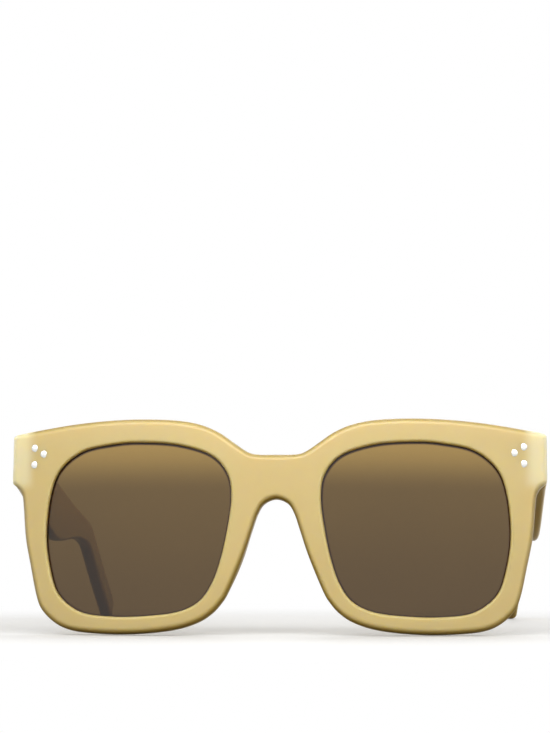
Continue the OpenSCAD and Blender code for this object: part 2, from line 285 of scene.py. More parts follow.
def distance_to(points, loop):
    """Shortest distance from each point to a closed chain of segments."""
    a, b = loop, np.roll(loop, -1, 0)
    ab = b - a
    out = np.full(len(points), np.inf)
    for start in range(0, len(points), 2000):
        p = points[start : start + 2000, None]
        t = ((p - a) * ab).sum(2) / np.maximum((ab * ab).sum(1), 1e-18)
        near = a + np.clip(t, 0, 1)[..., None] * ab
        out[start : start + 2000] = np.sqrt(((p - near) ** 2).sum(2).min(1))
    return out


def rounding(d, r):
    """How far a rounded edge lies below its face at distance d: a quarter circle of radius r."""
    return np.where(d < r, r - np.sqrt(np.maximum(r * r - (r - np.minimum(d, r)) ** 2, 0)), 0)


def placed(points):
    """Leans upright points onto the table: a turn by the lean about X, then a shift that
    brings the hinge axis to where the frame has it."""
    c, s = math.cos(LEAN), math.sin(LEAN)
    turn = np.array([[1, 0, 0], [0, c, s], [0, -s, c]])
    return points @ turn.T + (np.array(HINGE["pos_m"]) - turn @ hinge_axis())


def endpiece_back():
    """Depth of the flat back of the endpieces."""
    f = settings()[0]
    return float(sag(front_size()[0])) + f.endpiece_t


def hinge_axis():
    """Point at the middle barrel on the right hinge's axis, in the upright front."""
    t, h = settings()[1], bpy.context.scene.sunglasses_hinge
    half_w, height, _ = front_size()
    return np.array([half_w - t.blade_t - h.axis_in, endpiece_back() + t.butt_gap + h.axis_back,
                     height * h.axis_share])


def grid_faces(rows, cols, closed, start=0):
    """Quads of a grid stored row by row; closed joins the last column to the first."""
    r = np.arange(rows - 1)[:, None]
    c = np.arange(cols if closed else cols - 1)[None, :]
    n = (c + 1) % cols
    quads = np.stack([r * cols + c, r * cols + n, (r + 1) * cols + n, (r + 1) * cols + c], -1)
    return quads.reshape(-1, 4) + start


def fan(ring_index, tip, flip=False):
    """Triangles from a closed ring of vertices to one tip."""
    a, b = ring_index, np.roll(ring_index, -1)
    tri = np.stack([b, a, np.full(len(a), tip)], -1)
    return tri[:, ::-1] if flip else tri


def add_piece(name, points, faces, material, body, replaces, slot, sharp=40, **masks):
    """Makes a closed, outward-facing, smooth mesh from points in metres in the row's frame.
    A mask is a value at each point, from 0 to 1, which the material reads by its name."""
    mesh = bpy.data.meshes.new(name)
    mesh.from_pydata(points.tolist(), [], [list(f) for f in faces])
    for mask, values in masks.items():
        mesh.attributes.new(mask, "FLOAT", "POINT").data.foreach_set("value", values)
    work = bmesh.new()
    work.from_mesh(mesh)
    bmesh.ops.remove_doubles(work, verts=work.verts, dist=1e-6)
    spare = [vert for vert in work.verts if not vert.link_faces]
    bmesh.ops.delete(work, geom=spare, context="VERTS")
    bmesh.ops.recalc_face_normals(work, faces=work.faces)
    work.to_mesh(mesh)
    work.free()
    mesh.polygons.foreach_set("use_smooth", np.ones(len(mesh.polygons), bool))
    mesh.set_sharp_from_angle(angle=math.radians(sharp))
    mesh.materials.append(material)
    piece = bpy.data.objects.new(name, mesh)
    bpy.context.scene.collection.objects.link(piece)
    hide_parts(*replaces)
    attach(piece, body)
    return piece


def mirror_x(points):
    """The same points on the other side of the middle plane."""
    return points * np.array([-1, 1, 1])


def both_sides():
    """(name ending, function that mirrors or not) for the right and the left side."""
    return (("right", lambda p: p), ("left", mirror_x))


def front_back(x, z):
    """Depth of the front's back face: the rim, a cosine dome for the nose pad and an eased
    step up to the flat endpiece, which stays a hair below the hinge plate's face."""
    f = settings()[0]
    half_w, height, _ = front_size()
    # the pad leans with the side of the nose
    nose = np.array(NOSE_SHARES) * (f.bridge_w / 2, height)
    low, high = nose[1], nose[4]
    lean = math.atan2(low[0] - high[0], high[1] - low[1])
    px, pz = PAD_MIDDLE[0] * f.bridge_w / 2, PAD_MIDDLE[1] * height
    across = (x - px) * math.cos(lean) + (z - pz) * math.sin(lean)
    along = (z - pz) * math.cos(lean) - (x - px) * math.sin(lean)
    pad_reach, pad_rise = f.pad_w * 0.8, f.pad_h * 0.56
    q = np.sqrt((across / pad_reach) ** 2 + (along / pad_rise) ** 2)
    pad = f.pad_depth * (np.cos(np.minimum(q, 1) * math.pi) + 1) / 2
    rim = sag(x) + f.rim_t + pad
    side_step, low_step, endpiece_foot = 2.4 * MM, 1.6 * MM, 0.7 * height
    step = ease((x - half_w + f.endpiece_w) / side_step + 0.9)
    step = step * ease((z - endpiece_foot) / low_step + 0.7)
    return rim + (endpiece_back() - SKIN - rim) * step


def front_columns():
    """Columns of the front's right half: where each begins on the lens opening, its way out
    from the lens's middle, and where it ends. The ends follow the outline and come back along
    the middle plane. A column begins in the direction of its end, but round the top of the
    arch in the direction of a point above it, so that no two columns cross."""
    plane_cols, apex_lift, lift_reach = 32, 3.4 * MM, 9 * MM
    middle = front_size()[2]
    half = outlines()[1]
    along = (1 - np.cos(np.linspace(0, math.pi, plane_cols + 2)[1:-1])) / 2
    ends = np.vstack([half, half[-1] + (half[0] - half[-1]) * along[:, None]])
    steps = np.hypot(*(ends - np.roll(ends, 1, 0)).T)
    steps[0] = 0
    from_apex = np.abs(np.cumsum(steps) - steps[: len(half)].sum())
    lift = apex_lift * np.maximum(1 - from_apex / lift_reach, 0)
    to = ends + np.stack([0 * lift, lift], -1) - middle
    rel = opening(0) - middle
    angle = np.mod(np.arctan2(rel[:, 1], rel[:, 0]), 2 * math.pi)
    order = np.argsort(angle)
    at = np.mod(np.arctan2(to[:, 1], to[:, 0]), 2 * math.pi)
    radius = np.interp(at, angle[order], np.hypot(rel[:, 0], rel[:, 1])[order],
                       period=2 * math.pi)
    way = to / np.hypot(to[:, 0], to[:, 1])[:, None]
    return middle + way * radius[:, None], way, ends, along


def front_rows(reach, along):
    """Distances of the rows from the opening, for each column of a given reach. They crowd
    towards both ends, where the faces round off by quarter circles. On the middle plane,
    which has no edge, the outer rows spread out again by a sine."""
    f = settings()[0]
    edge_rows, face_rows, plane_spread = 8, 25, 4
    turn = 1 - np.cos(np.linspace(0, math.pi / 2, edge_rows))
    inner = f.lens_edge_r * turn[None, :] * np.ones((len(reach), 1))
    spread = np.append(np.ones(len(reach) - len(along)),
                       1 + plane_spread * np.sin(math.pi * along))
    outer = reach[:, None] - f.edge_r * 1.05 * turn[::-1][None, :] * spread[:, None]
    share = np.linspace(0, 1, face_rows + 2)[1:-1][None, :]
    between = inner[:, -1:] + (outer[:, :1] - inner[:, -1:]) * share
    return np.hstack([inner, between, outer])


def front_half():
    """Right half of the front, as four grids on the same columns: the bent face and the back,
    each less a quarter circle at its edges, the inner wall with the lens groove, and the
    outer wall. The mask of the edges is 1 at the outer edge, half at the opening, and eases
    to 0 on the faces."""
    f = settings()[0]
    side_rows, back_edge_r, tone_reach = 5, 0.8 * f.edge_r, 0.9 * f.edge_r
    begin, out_way, ends, along = front_columns()
    reach = np.hypot(*(ends - begin).T)
    rows = front_rows(reach, along)
    way = (ends - begin) / reach[:, None]
    cols, n_rows = rows.shape
    points = (begin[:, None] + way[:, None] * rows[..., None]).reshape(-1, 2)
    d_out, d_in = distance_to(points, outlines()[0]), distance_to(points, opening(0))
    on_outline = np.arange(cols) < cols - len(along)
    x, z = points[:, 0], points[:, 1]
    x = np.where(np.abs(x) < 1e-6, 0, x)
    front = sag(x) + rounding(d_out, f.edge_r) + rounding(d_in, f.lens_edge_r)
    back = front_back(x, z) - rounding(d_out, back_edge_r) - rounding(d_in, f.lens_edge_r)
    front = np.stack([x, front, z], -1).reshape(cols, n_rows, 3).transpose(1, 0, 2)
    back = np.stack([x, back, z], -1).reshape(cols, n_rows, 3).transpose(1, 0, 2)
    # inner wall with the lens groove: (distance out from the opening, depth behind the face)
    near, far = f.recess - f.lens_gap, f.recess + f.lens_t + f.lens_gap
    wall = [front[0]]
    for out, depth in ((0, near), (f.groove, near), (f.groove, far), (0, far)):
        at_wall = begin + out_way * out
        wall.append(np.stack([at_wall[:, 0], sag(at_wall[:, 0]) + depth, at_wall[:, 1]], -1))
    wall = np.array([*wall, back[0]])
    side = np.linspace(front[-1], back[-1], side_rows)
    # tones: the walls agree with the faces where they meet, and everywhere on the plane
    near_edge = np.maximum(1 - ease(d_out / tone_reach),
                           0.5 - 0.5 * ease(d_in / f.lens_edge_r))
    near_edge = near_edge.reshape(cols, n_rows).T
    wall_tone = np.full(wall.shape[:2], SIDE_TONE)
    side_tone = np.full(side.shape[:2], SIDE_TONE)
    wall_tone[[0, -1]], side_tone[[0, -1]] = near_edge[0], near_edge[-1]
    side_tone[:, ~on_outline] = near_edge[-1][~on_outline]
    edge = np.concatenate([t.ravel() for t in (near_edge, near_edge, wall_tone, side_tone)])
    parts, faces, start = [], [], 0
    for grid in (front, back, wall, side):
        quads = grid_faces(len(grid), cols, True)
        if grid is side:
            quads = quads[on_outline[quads[:, 0] % cols] & on_outline[quads[:, 1] % cols]]
        parts.append(grid.reshape(-1, 3))
        faces.append(quads + start)
        start += len(grid) * cols
    return np.vstack(parts), np.vstack(faces), edge


def painted_glow_mask(points):
    """Mask of the painted glow on the front's ends: a pale colour that stands in for light
    passing right through them. It eases from 0 up to its full strength across a strip beside the
    temple, and above the endpiece's foot."""
    blade_t = settings()[1].blade_t
    half_w, height, _ = front_size()
    strength, foot, foot_blend = 0.8, 0.66 * height, 0.06 * height
    from_end = half_w - points[:, 0]
    strip = 1 - ease((from_end - 0.8 * blade_t) / (0.9 * blade_t))
    return strength * strip * ease((points[:, 2] - foot) / foot_blend)


def temple_height(s):
    """Height of the blade at a distance: it eases from each named height to the next."""
    t = settings()[1]
    belly_at, bend_at = 0.33 * t.temple_l, 0.95 * t.ear_start
    at = np.array([0, belly_at, bend_at, t.temple_l])
    heights = np.array([t.butt_h, t.belly_h, t.bend_h, t.tip_h])
    k = np.clip(np.searchsorted(at, s, side="right") - 1, 0, len(at) - 2)
    return heights[k] + (heights[k + 1] - heights[k]) * ease((s - at[k]) / (at[k + 1] - at[k]))


def temple_edge(s):
    """Drop and slope of a temple's upper edge: a straight slope, then a parabola that turns
    it into the steeper ear part."""
    t = settings()[1]
    u = s - t.ear_start + t.ear_blend / 2
    part = np.where(u <= 0, 0, np.where(
        u < t.ear_blend, u * u / (2 * t.ear_blend), u - t.ear_blend / 2))
    turn = np.clip(u / t.ear_blend, 0, 1)
    more = math.tan(t.ear_slope) - math.tan(t.slope)
    drop = s * math.tan(t.slope) + part * more
    slope = np.arctan(math.tan(t.slope) + turn * more) * np.minimum(1, s / t.butt_h)
    return drop, slope


def rounded_section(height, thick, radius, inset, count=12):
    """Ring round a rounded rectangle, as (distance down, distance in) from its outer upper
    corner: four quarter circles, drawn in by an inset at the ends of the piece."""
    turn = np.linspace(0, math.pi / 2, count)
    r = np.minimum(radius, np.minimum(height, thick) / 2 - inset - 1e-5)[:, None]
    lo, hi_d, hi_q = inset[:, None], (height - inset)[:, None], (thick - inset)[:, None]
    s, c = np.sin(turn)[None], np.cos(turn)[None]
    down = np.hstack([lo + r - r * c, hi_d - r + r * s, hi_d - r + r * c, lo + r - r * s])
    deep = np.hstack([lo + r - r * s, lo + r - r * c, hi_q - r + r * s, hi_q - r + r * c])
    return down, deep


def temple_points():
    """Right temple: rounded sections square to the upper edge at stations along it, curved
    in by a square law, closed by a small rounding at the butt and a larger one at the tip."""
    t = settings()[1]
    half_w, height, _ = front_size()
    butt_r, tip_half_t, bow_from = 0.35 * MM, 0.9 * MM, 0.4 * t.temple_l
    butt_rows, blade_rows, tip_rows = 5, 120, 12
    butt = butt_r * (1 - np.cos(np.linspace(0, math.pi / 2, butt_rows)))
    tip = t.temple_l - t.tip_r + t.tip_r * np.sin(np.linspace(0, math.pi / 2, tip_rows))
    blade = np.linspace(butt_r, t.temple_l - t.tip_r, blade_rows)[1:-1]
    s = np.concatenate([butt, blade, tip])
    end = np.maximum(s - t.temple_l + t.tip_r, 0)
    inset = t.tip_r - np.sqrt(np.maximum(t.tip_r**2 - end**2, 0))
    near = np.maximum(butt_r - s, 0)
    inset_butt = butt_r - np.sqrt(np.maximum(butt_r**2 - near**2, 0))
    thick = np.full(len(s), t.blade_t - SKIN)
    across = np.minimum(inset * 0.6, t.blade_t / 2 - tip_half_t) + inset_butt
    tall = temple_height(s) - 2 * (inset - across + inset_butt)
    down, deep = rounded_section(tall, thick, np.full(len(s), t.edge_r), across)
    down = down + (inset - across + inset_butt)[:, None]
    drop, slope = temple_edge(s)
    bow = t.tip_in * (np.maximum(s - bow_from, 0) / (t.temple_l - bow_from)) ** 2
    along = s[:, None] - down * np.sin(slope)[:, None]
    up = height * TEMPLE_TOP - drop[:, None] - down * np.cos(slope)[:, None]
    x = half_w - bow[:, None] - deep
    y = endpiece_back() + t.butt_gap + along
    grid = np.stack([x, y, up], -1)
    rows, cols = grid.shape[:2]
    points = grid.reshape(-1, 3)
    from_top = np.minimum(down, temple_height(s)[:, None] - down)
    edge = np.maximum(1 - ease(from_top / t.edge_r), ease(inset / t.tip_r)[:, None])
    edge = SIDE_TONE * edge.ravel()
    butt_tone, tip_tone = 0.2, SIDE_TONE
    faces = [list(q) for q in grid_faces(rows, cols, True)]
    for row, flip in ((0, False), (rows - 1, True)):
        index = np.arange(row * cols, (row + 1) * cols)
        faces += [list(q) for q in fan(index, len(points), flip)]
        points = np.vstack([points, grid[row].mean(0)])
    return points, faces, np.append(edge, [butt_tone, tip_tone])


def lens_points():
    """Right lens: rings from its middle out to the edge in the groove, on both faces of the bent
    sheet, joined by a wall. Its outermost rings carry the mask of a painted shade line at the
    rim, where the lens enters its groove. Painted shade darkens the lens from the top down by
    two smooth steps, a short one and one of the whole height."""
    f = settings()[0]
    _, _, middle = front_size()
    rings, top_strip, strip_share = 13, 0.28, 0.8
    share = np.sqrt(np.linspace(0, 1, rings + 1)[1:])[:, None, None]
    flat = middle + (opening(-2 * f.rim_shade_line) - middle)[None] * share
    outer = [opening(margin) for margin in (-f.rim_shade_line, 0, f.groove - f.lens_gap)]
    flat = np.concatenate([flat, np.array(outer)])
    x, z = flat[..., 0], flat[..., 1]
    rows, cols = x.shape
    front = np.stack([x, sag(x) + f.recess, z], -1).reshape(-1, 3)
    back = np.stack([x, sag(x) + f.recess + f.lens_t, z], -1).reshape(-1, 3)
    n = rows * cols
    faces = [list(q) for q in grid_faces(rows, cols, True)]
    faces += [list(q) for q in grid_faces(rows, cols, True, n)]
    rim = np.arange((rows - 1) * cols, n)
    wall = np.stack([rim, np.roll(rim, -1), np.roll(rim, -1) + n, rim + n], -1)
    faces += [list(q) for q in wall]
    first = np.arange(cols)
    faces += [list(q) for q in fan(first, 2 * n)] + [list(q) for q in fan(first + n, 2 * n + 1)]
    tips = np.array([[middle[0], sag(middle[0]) + f.recess, middle[1]],
                     [middle[0], sag(middle[0]) + f.recess + f.lens_t, middle[1]]])
    points = np.vstack([front, back, tips])
    # painted shade line on the outermost rings, where the lens enters its groove
    dark = np.zeros((rows, cols))
    dark[-len(outer):] = 1
    accent = np.concatenate([dark.ravel(), dark.ravel(), [0, 0]])
    # painted shade: the lens darkens from the top down
    down = 0.5 - (points[:, 2] - middle[1]) / f.lens_h
    painted_shade = strip_share * ease(down / top_strip) + (1 - strip_share) * ease(down)
    return points, faces, painted_shade, accent


def lathe(profile, centre, axis, sides=32):
    """Turned piece: (distance along the axis, radius) pairs swept round the axis. The first
    and last pair lie on the axis and close the ends."""
    axis = np.asarray(axis, float) / np.linalg.norm(axis)
    side = np.cross(axis, [1, 0, 0] if abs(axis[0]) < 0.9 else [0, 1, 0])
    side /= np.linalg.norm(side)
    up = np.cross(axis, side)
    inner = np.asarray(profile[1:-1], float)
    a = np.arange(sides) * 2 * math.pi / sides
    circle = np.cos(a)[:, None] * side + np.sin(a)[:, None] * up
    grid = centre + inner[:, 0, None, None] * axis + inner[:, 1, None, None] * circle
    ends = np.array([centre + profile[0][0] * axis, centre + profile[-1][0] * axis])
    points = np.vstack([grid.reshape(-1, 3), ends])
    n = len(inner) * sides
    faces = [list(q) for q in grid_faces(len(inner), sides, True)]
    faces += [list(q) for q in fan(np.arange(sides), n)]
    faces += [list(q) for q in fan(np.arange(n - sides, n), n + 1, True)]
    return points, faces


def screw_points(rows=8, cols=11):
    """Right hinge screw. Its head falls off with the fourth power of the radius, on chords of
    a circle, two of which lie deeper and leave a driver slot. A wall falls from the rim of
    the head, turns in to the shaft and closes below the lowest barrel."""
    h = bpy.context.scene.sunglasses_hinge
    head_r, head_h, pitch = 1.6 * h.screw_r, 0.8 * h.screw_r, h.barrel_h + h.gap
    first_chord, slot_floor, dome, slot_turn = 0.12, 0.46 * h.slot_w, 0.3 * head_h, 0.6
    last_chord = np.arccos(h.slot_w / 2 / head_r)
    chord = head_r * np.cos(np.linspace(first_chord, last_chord, rows))
    u = np.concatenate([-chord, [-slot_floor, slot_floor], chord[::-1]])
    v = np.linspace(-1, 1, cols) * np.sqrt(head_r**2 - u[:, None] ** 2)
    z = -dome * (np.hypot(u[:, None], v) / head_r) ** 4
    z[rows:rows + 2] -= h.slot_deep
    top = np.stack([u[:, None] + 0 * v, v, z], -1)
    index = np.arange(top.shape[0] * cols).reshape(-1, cols)
    loop = np.concatenate([index[0], index[1:, -1], index[-1, -2::-1], index[-2:0:-1, 0]])
    flat = top.reshape(-1, 3)
    way = flat[loop, :2] / np.hypot(*flat[loop, :2].T)[:, None]
    foot = -head_h - 2.5 * pitch - h.barrel_h / 2
    rings = [np.column_stack([way * radius, np.full(len(loop), level)]) for radius, level in (
        (head_r, -head_h), (h.screw_r, -head_h), (h.screw_r, foot))]
    points = np.vstack([flat, *rings, [[0, 0, foot]]])
    faces = [list(q) for q in grid_faces(len(u), cols, False)]
    first, n = len(flat), len(loop)
    faces += [[loop[i], loop[(i + 1) % n], first + (i + 1) % n, first + i] for i in range(n)]
    faces += [list(q) for q in grid_faces(len(rings), n, True, first)]
    faces += [list(q) for q in fan(np.arange(first + 2 * n, first + 3 * n), first + 3 * n)]
    c, s = math.cos(slot_turn), math.sin(slot_turn)
    turn = np.array([[c, -s, 0], [s, c, 0], [0, 0, 1]])
    above = np.array([0, 0, pitch + h.barrel_h / 2 + head_h])
    return points @ turn.T + hinge_axis() + above, faces


def pin_profile(long, radius, head):
    """A pin with a low dome at each end: a quarter ellipse of the head's height, which stops
    just short of the axis, then a straight side."""
    near_axis, steps = 1.5, 7
    rise = [(head * math.sin(a), radius * math.cos(a)) for a in np.linspace(near_axis, 0, steps)]
    start = [(-h, r) for h, r in rise]
    end = [(long + h, r) for h, r in rise[::-1]]
    return [(-head, 0), *start, *end, (long + head, 0)]


def join(parts):
    """One point list and one face list from several."""
    points, faces, start = [], [], 0
    for p, f in parts:
        points.append(p)
        faces += [[i + start for i in face] for face in f]
        start += len(p)
    return np.vstack(points), faces


def node_group(name, inputs, outputs):
    """Empty shader node group with named sockets, and its two ends."""
    group = bpy.data.node_groups.new(name, "ShaderNodeTree")
    for socket, kind, value in inputs:
        made = group.interface.new_socket(name=socket, in_out="INPUT", socket_type=kind)
        made.default_value = value
    for socket, kind in outputs:
        group.interface.new_socket(name=socket, in_out="OUTPUT", socket_type=kind)
    return group, group.nodes.new("NodeGroupInput"), group.nodes.new("NodeGroupOutput")


def polish_group():
    """Slight unevenness of a hand-polished surface: fine noise for roughness and height, and
    broad noise that shifts the colour between two tones. The edge mask shifts it too; on the
    lenses it carries painted shade towards the bottom. The painted mask brings in a third
    colour: a painted glow on the front's ends, and a painted shade line at the lenses' rims."""
    name = "hand polish"
    if name in bpy.data.node_groups:
        return bpy.data.node_groups[name]
    group, start, end = node_group(
        name,
        [("Color", "NodeSocketColor", (1, 1, 1, 1)),
         ("Deep Color", "NodeSocketColor", (0, 0, 0, 1)),
         ("Cloud Scale", "NodeSocketFloat", 60), ("Cloud Amount", "NodeSocketFloat", 0.2),
         ("Edge", "NodeSocketFloat", 0), ("Edge Amount", "NodeSocketFloat", 0),
         ("Accent Color", "NodeSocketColor", (1, 1, 1, 1)), ("Accent", "NodeSocketFloat", 0),
         ("Grain Scale", "NodeSocketFloat", 900), ("Roughness", "NodeSocketFloat", 0.3),
         ("Roughness Spread", "NodeSocketFloat", 0.08)],
        [("Color", "NodeSocketColor"), ("Roughness", "NodeSocketFloat"),
         ("Height", "NodeSocketFloat")])
    nodes, links = group.nodes, group.links
    place = nodes.new("ShaderNodeTexCoord")
    cloud, grain = nodes.new("ShaderNodeTexNoise"), nodes.new("ShaderNodeTexNoise")
    cloud.inputs["Detail"].default_value = 3
    grain.inputs["Detail"].default_value = 4
    for noise, scale in ((cloud, "Cloud Scale"), (grain, "Grain Scale")):
        links.new(place.outputs["Object"], noise.inputs["Vector"])
        links.new(start.outputs[scale], noise.inputs["Scale"])
    amount = nodes.new("ShaderNodeMath")
    amount.operation = "MULTIPLY"
    links.new(cloud.outputs["Fac"], amount.inputs[0])
    links.new(start.outputs["Cloud Amount"], amount.inputs[1])
    depth = nodes.new("ShaderNodeMath")
    depth.operation = "MULTIPLY_ADD"
    depth.use_clamp = True
    links.new(start.outputs["Edge"], depth.inputs[0])
    links.new(start.outputs["Edge Amount"], depth.inputs[1])
    links.new(amount.outputs[0], depth.inputs[2])
    mix = nodes.new("ShaderNodeMix")
    mix.data_type = "RGBA"
    links.new(depth.outputs[0], mix.inputs["Factor"])
    links.new(start.outputs["Color"], mix.inputs[6])
    links.new(start.outputs["Deep Color"], mix.inputs[7])
    accent = nodes.new("ShaderNodeMix")
    accent.data_type = "RGBA"
    links.new(start.outputs["Accent"], accent.inputs["Factor"])
    links.new(mix.outputs[2], accent.inputs[6])
    links.new(start.outputs["Accent Color"], accent.inputs[7])
    rough = nodes.new("ShaderNodeMath")
    rough.operation = "MULTIPLY_ADD"
    links.new(grain.outputs["Fac"], rough.inputs[0])
    links.new(start.outputs["Roughness Spread"], rough.inputs[1])
    links.new(start.outputs["Roughness"], rough.inputs[2])
    links.new(accent.outputs[2], end.inputs["Color"])
    links.new(rough.outputs[0], end.inputs["Roughness"])
    links.new(grain.outputs["Fac"], end.inputs["Height"])
    return group


def surface(name, values, shader_values, bump=0.05, bump_distance=0.02 * MM):
    """Material whose colour, roughness and fine bump come from the polish group, and whose
    other sockets are set on the Principled BSDF itself."""
    if name in bpy.data.materials:
        return bpy.data.materials[name]
    material = bpy.data.materials.new(name)
    material.use_nodes = True
    nodes, links = material.node_tree.nodes, material.node_tree.links
    shader = nodes["Principled BSDF"]
    polish = nodes.new("ShaderNodeGroup")
    polish.node_tree = polish_group()
    for socket, value in values.items():
        polish.inputs[socket].default_value = value
    relief = nodes.new("ShaderNodeBump")
    relief.inputs["Strength"].default_value = bump
    relief.inputs["Distance"].default_value = bump_distance
    for amount, socket in (("Edge Amount", "Edge"), ("Accent Color", "Accent")):
        if amount in values:
            mask = nodes.new("ShaderNodeAttribute")
            mask.attribute_name = socket.lower()
            links.new(mask.outputs["Fac"], polish.inputs[socket])
    links.new(polish.outputs["Height"], relief.inputs["Height"])
    links.new(polish.outputs["Color"], shader.inputs["Base Color"])
    links.new(polish.outputs["Roughness"], shader.inputs["Roughness"])
    links.new(relief.outputs["Normal"], shader.inputs["Normal"])
    for socket, value in shader_values.items():
        shader.inputs[socket].default_value = value
    return material


def honey_plastic():
    """Milky honey plastic, in which light scatters a few millimetres deep. Its narrow sides,
    where the eye looks into more of it, are a deeper amber. Its ends carry a painted glow, a
    pale colour that stands in for light passing right through them."""
    look = settings()[2]
    return surface(
        "honey plastic",
        {"Color": tuple(look.honey), "Deep Color": tuple(look.amber), "Cloud Scale": 45,
         "Cloud Amount": 0.14, "Edge Amount": 0.9, "Accent Color": tuple(look.painted_glow),
         "Grain Scale": 1500, "Roughness": 0.27, "Roughness Spread": 0.06},
        {"Subsurface Weight": 0.9, "Subsurface Radius": (1, 0.88, 0.45),
         "Subsurface Scale": 3.5 * MM, "IOR": 1.49})


def brown_lens():
    """Clear lens, tinted brown right through, with painted shade that darkens it towards the
    bottom and a dark line of painted shade at its rim.
    """
    look = settings()[2]
    return surface(
        "brown lens",
        {"Color": tuple(look.brown), "Deep Color": tuple(look.lens_painted_shade), "Cloud Scale": 25,
         "Cloud Amount": 0.08, "Edge Amount": 0.93, "Accent Color": tuple(look.painted_groove_shade),
         "Grain Scale": 2000, "Roughness": 0, "Roughness Spread": 0.03},
        {"IOR": 1.5, "Transmission Weight": 1}, bump=0)


def bright_metal():
    """Plated rivets and screws: a bright metal with a fine even grain."""
    look = settings()[2]
    return surface(
        "rivet silver",
        {"Color": tuple(look.silver), "Deep Color": tuple(look.steel), "Cloud Scale": 400,
         "Cloud Amount": 0.08, "Grain Scale": 3000, "Roughness": 0.22, "Roughness Spread": 0.12},
        {"Metallic": 1}, bump=0.08)


def hinge_metal():
    """Hinge plates: a duller steel, with darker clouds."""
    look = settings()[2]
    dark_steel = (0.25, 0.24, 0.23, 1)
    return surface(
        "hinge steel",
        {"Color": tuple(look.steel), "Deep Color": dark_steel, "Cloud Scale": 500,
         "Cloud Amount": 0.35, "Grain Scale": 4000, "Roughness": 0.3, "Roughness Spread": 0.15},
        {"Metallic": 1}, bump=0.12)


class SUNGLASSES_OT_front(bpy.types.Operator):
    """Front with its rims, bridge, nose pads and endpieces"""

    bl_idname = "sunglasses.front"
    bl_label = "Front"

    def execute(self, context):
        points, faces, edge = front_half()
        faces = faces.tolist()
        both = join([(points, faces), (mirror_x(points), [f[::-1] for f in faces])])
        # the painted mask puts a painted glow on the front's ends
        add_piece("front_shell", placed(both[0]), both[1], honey_plastic(), "front",
                  ["front_frame"], "honey_frame", sharp=50, edge=np.tile(edge, 2),
                  accent=np.tile(painted_glow_mask(points), 2))
        return {"FINISHED"}


class SUNGLASSES_OT_lenses(bpy.types.Operator):
    """Two brown lenses in their grooves"""

    bl_idname = "sunglasses.lenses"
    bl_label = "Lenses"

    def execute(self, context):
        points, faces, tone, accent = lens_points()
        for side, turn in both_sides():
            # the edge mask carries the lenses' painted shade towards the bottom, and the painted
            # mask their painted shade line at the rim
            add_piece(f"tinted_lens_{side}", placed(turn(points)), faces, brown_lens(), "front",
                      [f"lens_{side}"], "brown_lens", edge=tone, accent=accent)
        return {"FINISHED"}


class SUNGLASSES_OT_temples(bpy.types.Operator):
    """Two temples, from the butt end to the tip"""

    bl_idname = "sunglasses.temples"
    bl_label = "Temples"

    def execute(self, context):
        points, faces, edge = temple_points()
        for side, turn in both_sides():
            add_piece(f"temple_blade_{side}", placed(turn(points)), faces, honey_plastic(),
                      f"{side}_arm", [f"temple_{side}"], "honey_temple", sharp=60,
                      edge=edge)
        return {"FINISHED"}


class SUNGLASSES_OT_rivets(bpy.types.Operator):
    """Three rivets at each end of the front and of each temple"""

    bl_idname = "sunglasses.rivets"
    bl_label = "Rivets"

    def execute(self, context):
        f, t, _ = settings()
        half_w, height, _ = front_size()
        fronts, arms = [], []
        for a, b in FRONT_RIVET_SHARES:
            x, z = half_w - a * f.endpiece_w, b * height
            long = endpiece_back() - float(sag(x))
            fronts.append(lathe(pin_profile(long - t.rivet_head, t.rivet_r, t.rivet_head),
                                np.array([x, float(sag(x)), z]), (0, 1, 0)))
        for a, b in TEMPLE_RIVET_SHARES:
            drop = float(temple_edge(np.array([a * t.butt_h]))[0][0])
            y = endpiece_back() + t.butt_gap + a * t.butt_h
            z = height * TEMPLE_TOP - drop - b * t.butt_h
            arms.append(lathe(pin_profile(t.blade_t, t.rivet_r, t.rivet_head),
                              np.array([half_w - t.blade_t, y, z]), (1, 0, 0)))
        for parts, name, node, body in (
            (fronts, "front_pins", "front_rivets", "front"),
            (arms, "temple_pins", "temple_rivets", "{}_arm"),
        ):
            points, faces = join(parts)
            for side, turn in both_sides():
                add_piece(f"{name}_{side}", placed(turn(points)), faces, bright_metal(),
                          body.format(side), [f"{node}_{side}"], "rivet_silver")
        return {"FINISHED"}


class SUNGLASSES_OT_hinges(bpy.types.Operator):
    """Steel of the hinge plates, and the hinge screws"""

    bl_idname = "sunglasses.hinges"
    bl_label = "Hinges"

    def execute(self, context):
        for name, node in frame["nodes"].items():
            if "leaf" in name:
                node.data.materials.clear()
                node.data.materials.append(hinge_metal())
        points, faces = screw_points()
        for side, turn in both_sides():
            add_piece(f"slotted_screw_{side}", placed(turn(points)), faces, bright_metal(),
                      "front", [f"hinge_screw_{side}"], "screw_steel")
        return {"FINISHED"}


class SUNGLASSES_OT_stage(bpy.types.Operator):
    """Pale floor, soft light and the camera"""

    bl_idname = "sunglasses.stage"
    bl_label = "Stage"

    def execute(self, context):
        add_floor()
        add_lights()
        add_camera()
        return {"FINISHED"}


def seen_ray(nodes, links, kinds=("Is Glossy Ray", "Is Transmission Ray")):
    """1 on rays that show something to the camera: straight, and of the kinds given, which
    are the mirrored ones and those through a lens."""
    path = nodes.new("ShaderNodeLightPath")
    total = path.outputs["Is Camera Ray"]
    for kind in kinds:
        both = nodes.new("ShaderNodeMath")
        both.operation = "MAXIMUM"
        links.new(total, both.inputs[0])
        links.new(path.outputs[kind], both.inputs[1])
        total = both.outputs[0]
    return total


